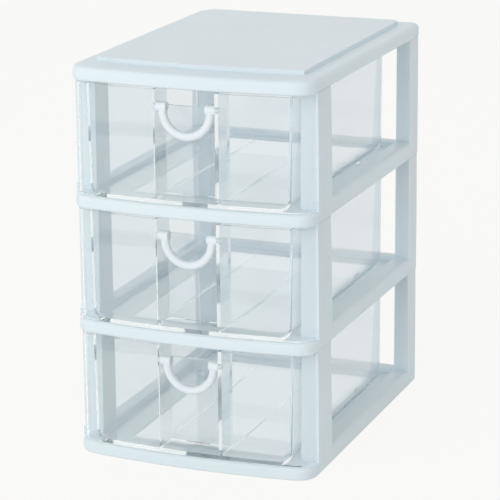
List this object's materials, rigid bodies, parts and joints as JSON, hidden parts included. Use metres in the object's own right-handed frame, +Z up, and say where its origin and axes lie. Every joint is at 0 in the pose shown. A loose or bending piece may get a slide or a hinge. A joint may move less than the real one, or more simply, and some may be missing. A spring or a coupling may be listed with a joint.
{
  "type": "stackable drawer box",
  "caption": "Desktop drawer box: frosted plastic tier frames under one cap, with clear bow-fronted drawers that slide out and white pulls that swing over finger pockets.",
  "frame": {"origin": "middle of the footprint, on the surface that the box stands on", "axes": "+Z up, front of the drawers towards -Y, +X to the right seen from the front"},
  "size_m": [0.176, 0.24, 0.28],
  "materials": {
    "frame": "frosted translucent",
    "drawer": "clear, slightly smoky",
    "pull": "satin white"
  },
  "bodies": {
    "cabinet": {"frame_lower": "frame", "frame_middle": "frame", "frame_upper": "frame", "top_cap": "frame"},
    "drawer_lower": {"drawer_lower": "drawer"},
    "drawer_middle": {"drawer_middle": "drawer"},
    "drawer_upper": {"drawer_upper": "drawer"},
    "pull_lower": {"pull_lower": "pull"},
    "pull_middle": {"pull_middle": "pull"},
    "pull_upper": {"pull_upper": "pull"}
  },
  "joints": [
    {"name": "drawer_lower_slide", "type": "slide", "parent": "cabinet", "child": "drawer_lower", "axis": [0, -1, 0], "range_m": [0, 0.146]},
    {"name": "drawer_middle_slide", "type": "slide", "parent": "cabinet", "child": "drawer_middle", "axis": [0, -1, 0], "range_m": [0, 0.146]},
    {"name": "drawer_upper_slide", "type": "slide", "parent": "cabinet", "child": "drawer_upper", "axis": [0, -1, 0], "range_m": [0, 0.146]},
    {"name": "pull_lower_swing", "type": "hinge", "parent": "drawer_lower", "child": "pull_lower", "pos_m": [0, -0.1143, 0.076], "axis": [-1, 0, 0], "range_deg": [-30, 90]},
    {"name": "pull_middle_swing", "type": "hinge", "parent": "drawer_middle", "child": "pull_middle", "pos_m": [0, -0.1143, 0.165], "axis": [-1, 0, 0], "range_deg": [-30, 90]},
    {"name": "pull_upper_swing", "type": "hinge", "parent": "drawer_upper", "child": "pull_upper", "pos_m": [0, -0.1143, 0.254], "axis": [-1, 0, 0], "range_deg": [-30, 90]}
  ]
}
